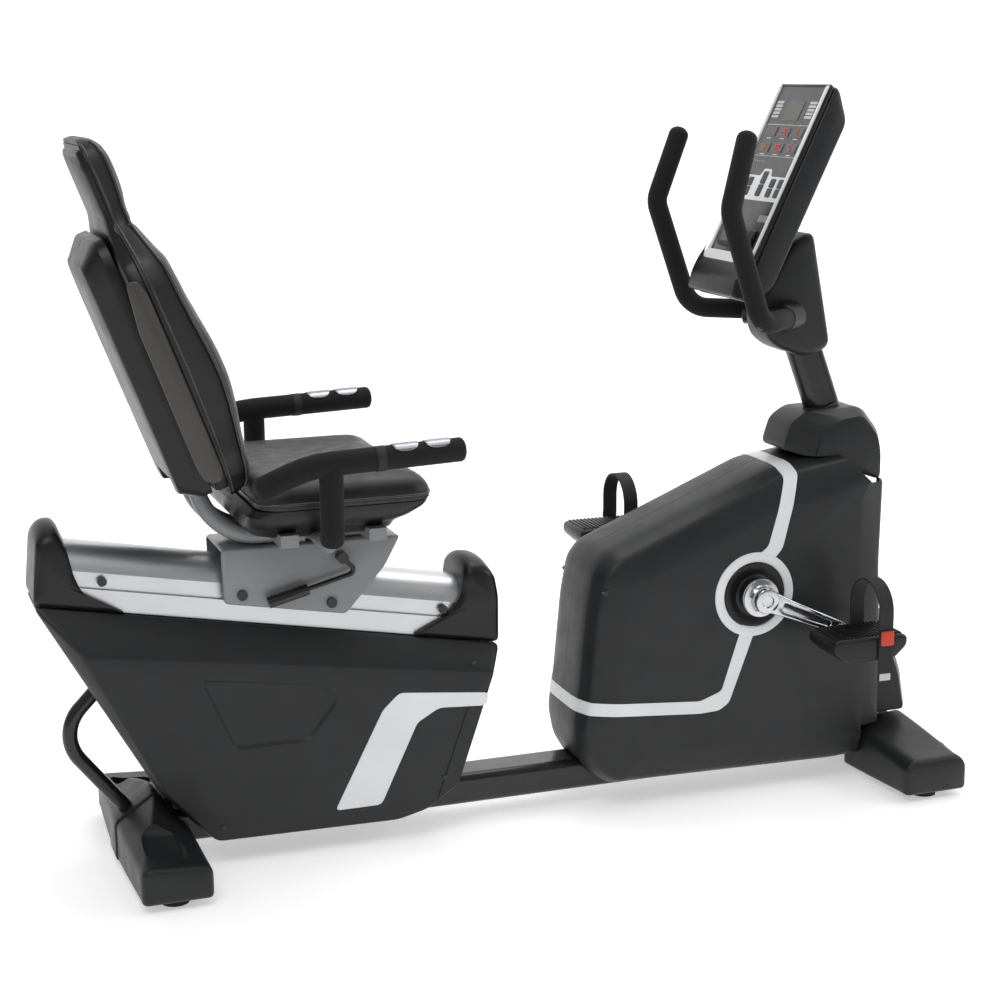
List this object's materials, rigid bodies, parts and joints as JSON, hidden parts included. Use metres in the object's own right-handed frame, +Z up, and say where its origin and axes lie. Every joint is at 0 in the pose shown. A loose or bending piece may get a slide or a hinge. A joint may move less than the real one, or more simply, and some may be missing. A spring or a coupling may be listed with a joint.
{
  "type": "exercise bike",
  "caption": "Recumbent exercise bike with a sliding seat on an inclined rail, backrest, armrests, console on a mast, handlebars and strapped pedals.",
  "frame": {"origin": "on the floor under the middle of the machine", "axes": "+X forward as the rider faces, +Y to the rider's left, +Z up"},
  "size_m": [1.688, 0.5998, 1.3183],
  "materials": {
    "frame_black": "satin black powder coat",
    "rail_aluminium": "brushed",
    "shroud_grey": "fine satin texture",
    "black_plastic": "satin",
    "silver_trim": "silver-white lacquer",
    "steel": "machined",
    "chrome": "polished",
    "cast_iron": "turned",
    "rubber": "matte",
    "foam": "closed-cell foam",
    "vinyl": "grained black upholstery",
    "carriage_silver": "silver-grey paint",
    "back_plastic": "semi-gloss",
    "console_panel": "printed panel",
    "window": "smoked window",
    "key_grey": "matte",
    "nylon": "smooth",
    "board_box": "matte"
  },
  "bodies": {
    "base": {"main_frame": "frame_black", "mast": "frame_black", "seat_rail": "rail_aluminium", "rail_caps": "black_plastic", "frame_fasteners": "frame_black", "rear_shroud_right": "shroud_grey", "rear_shroud_left": "shroud_grey", "front_shroud_right": "shroud_grey", "front_shroud_left": "shroud_grey", "shroud_accents": "silver_trim", "crank_covers": "black_plastic", "mast_cover": "shroud_grey", "foot_covers": "shroud_grey", "rear_handle": "frame_black", "crank_bearings": "steel", "drive_belt": "rubber", "fixed_spindles": "steel", "control_box": "board_box", "console_back": "shroud_grey", "console_front": "black_plastic", "console_trim": "silver_trim", "console_panel": "console_panel", "console_windows": "window", "neck_cover": "shroud_grey", "handlebar": "frame_black", "handlebar_grips": "foam"},
    "seat": {"seat_carriage": "carriage_silver", "carriage_bolts": "frame_black", "seat_frame": "carriage_silver", "seat_pan": "black_plastic", "seat_cushion": "vinyl", "arm_grips": "foam", "pulse_sensors": "chrome", "back_shell": "back_plastic", "back_cover": "black_plastic", "back_cushion": "vinyl"},
    "rear_rollers": {"roller_rear": "nylon"},
    "front_rollers": {"roller_front": "nylon"},
    "lever": {"seat_lever": "frame_black"},
    "lock": {"lock_pin": "steel"},
    "crank": {"crank_axle": "steel", "drive_pulley": "black_plastic", "crank_arms": "chrome"},
    "right_pedal": {"pedal_right": "black_plastic", "strap_right": "rubber"},
    "left_pedal": {"pedal_left": "black_plastic", "strap_left": "rubber"},
    "flywheel": {"flywheel": "cast_iron"},
    "idler": {"idler_pulley": "nylon"},
    "brake": {"brake_yoke": "rail_aluminium"},
    "right_wheel": {"transport_wheel_right": "rubber"},
    "left_wheel": {"transport_wheel_left": "rubber"},
    "program_key": {"key_program": "key_grey"},
    "level_key": {"key_level": "key_grey"},
    "mode_key": {"key_mode": "key_grey"},
    "start_key": {"key_start": "key_grey"},
    "rear_foot_right": {"rear_levelling_foot_right": "rubber"},
    "rear_foot_left": {"rear_levelling_foot_left": "rubber"},
    "front_foot_right": {"front_levelling_foot_right": "rubber"},
    "front_foot_left": {"front_levelling_foot_left": "rubber"}
  },
  "joints": [
    {"name": "seat_slide", "type": "slide", "parent": "base", "child": "seat", "axis": [0.9842, 0, -0.1771], "range_m": [-0.18, 0.14]},
    {"name": "rear_roller_spin", "type": "hinge", "parent": "seat", "child": "rear_rollers", "pos_m": [-0.497, 0, 0.4768], "axis": [0, 1, 0], "continuous": true},
    {"name": "front_roller_spin", "type": "hinge", "parent": "seat", "child": "front_rollers", "pos_m": [-0.341, 0, 0.44873], "axis": [0, 1, 0], "continuous": true},
    {"name": "lever_pull", "type": "hinge", "parent": "seat", "child": "lever", "pos_m": [-0.323, 0, 0.53], "axis": [0, 1, 0], "range_deg": [0, 25], "stiffness_Nm_per_rad": 2, "springref_deg": -17.19},
    {"name": "lock_pin_slide", "type": "slide", "parent": "seat", "child": "lock", "axis": [0.1771, 0, 0.9842], "range_m": [0, 0.003]},
    {"name": "flywheel_spin", "type": "hinge", "parent": "base", "child": "flywheel", "pos_m": [0.59, 0, 0.236], "axis": [0, 1, 0], "continuous": true},
    {"name": "crank_spin", "type": "hinge", "parent": "base", "child": "crank", "pos_m": [0.45, 0, 0.397], "axis": [0, 1, 0], "continuous": true},
    {"name": "idler_spin", "type": "hinge", "parent": "base", "child": "idler", "pos_m": [0.48243, 0, 0.23881], "axis": [0, 1, 0], "continuous": true},
    {"name": "right_pedal_spin", "type": "hinge", "parent": "crank", "child": "right_pedal", "pos_m": [0.60602, 0, 0.32948], "axis": [0, 1, 0], "continuous": true},
    {"name": "left_pedal_spin", "type": "hinge", "parent": "crank", "child": "left_pedal", "pos_m": [0.29398, 0, 0.46452], "axis": [0, 1, 0], "continuous": true},
    {"name": "brake_swing", "type": "hinge", "parent": "base", "child": "brake", "pos_m": [0.672, 0, 0.34], "axis": [0, 1, 0], "range_deg": [0, 8]},
    {"name": "right_wheel_spin", "type": "hinge", "parent": "base", "child": "right_wheel", "pos_m": [0.819, 0, 0.057], "axis": [0, 1, 0], "continuous": true},
    {"name": "left_wheel_spin", "type": "hinge", "parent": "base", "child": "left_wheel", "pos_m": [0.819, 0, 0.057], "axis": [0, 1, 0], "continuous": true},
    {"name": "program_key_press", "type": "slide", "parent": "base", "child": "program_key", "axis": [0.9011, 0, -0.4337], "range_m": [0, 0.0006], "stiffness_N_per_m": 900, "springref_m": -0.0006},
    {"name": "level_key_press", "type": "slide", "parent": "base", "child": "level_key", "axis": [0.9011, 0, -0.4337], "range_m": [0, 0.0006], "stiffness_N_per_m": 900, "springref_m": -0.0006},
    {"name": "mode_key_press", "type": "slide", "parent": "base", "child": "mode_key", "axis": [0.9011, 0, -0.4337], "range_m": [0, 0.0006], "stiffness_N_per_m": 900, "springref_m": -0.0006},
    {"name": "start_key_press", "type": "slide", "parent": "base", "child": "start_key", "axis": [0.9011, 0, -0.4337], "range_m": [0, 0.0006], "stiffness_N_per_m": 900, "springref_m": -0.0006},
    {"name": "rear_right_foot_turn", "type": "hinge", "parent": "base", "child": "rear_foot_right", "pos_m": [-0.656, -0.2, 0], "axis": [0, 0, 1], "continuous": true},
    {"name": "front_right_foot_turn", "type": "hinge", "parent": "base", "child": "front_foot_right", "pos_m": [0.768, -0.2, 0], "axis": [0, 0, 1], "continuous": true},
    {"name": "rear_left_foot_turn", "type": "hinge", "parent": "base", "child": "rear_foot_left", "pos_m": [-0.656, 0.2, 0], "axis": [0, 0, 1], "continuous": true},
    {"name": "front_left_foot_turn", "type": "hinge", "parent": "base", "child": "front_foot_left", "pos_m": [0.768, 0.2, 0], "axis": [0, 0, 1], "continuous": true}
  ],
  "couplings": [
    {"joint": "rear_roller_spin", "follows": "seat_slide", "rad_per_m": 74.074},
    {"joint": "front_roller_spin", "follows": "seat_slide", "rad_per_m": 74.074},
    {"joint": "lock_pin_slide", "follows": "lever_pull", "m_per_rad": 0.0068755},
    {"joint": "crank_spin", "follows": "flywheel_spin", "ratio": 0.2},
    {"joint": "idler_spin", "follows": "flywheel_spin", "ratio": -1.2}
  ]
}
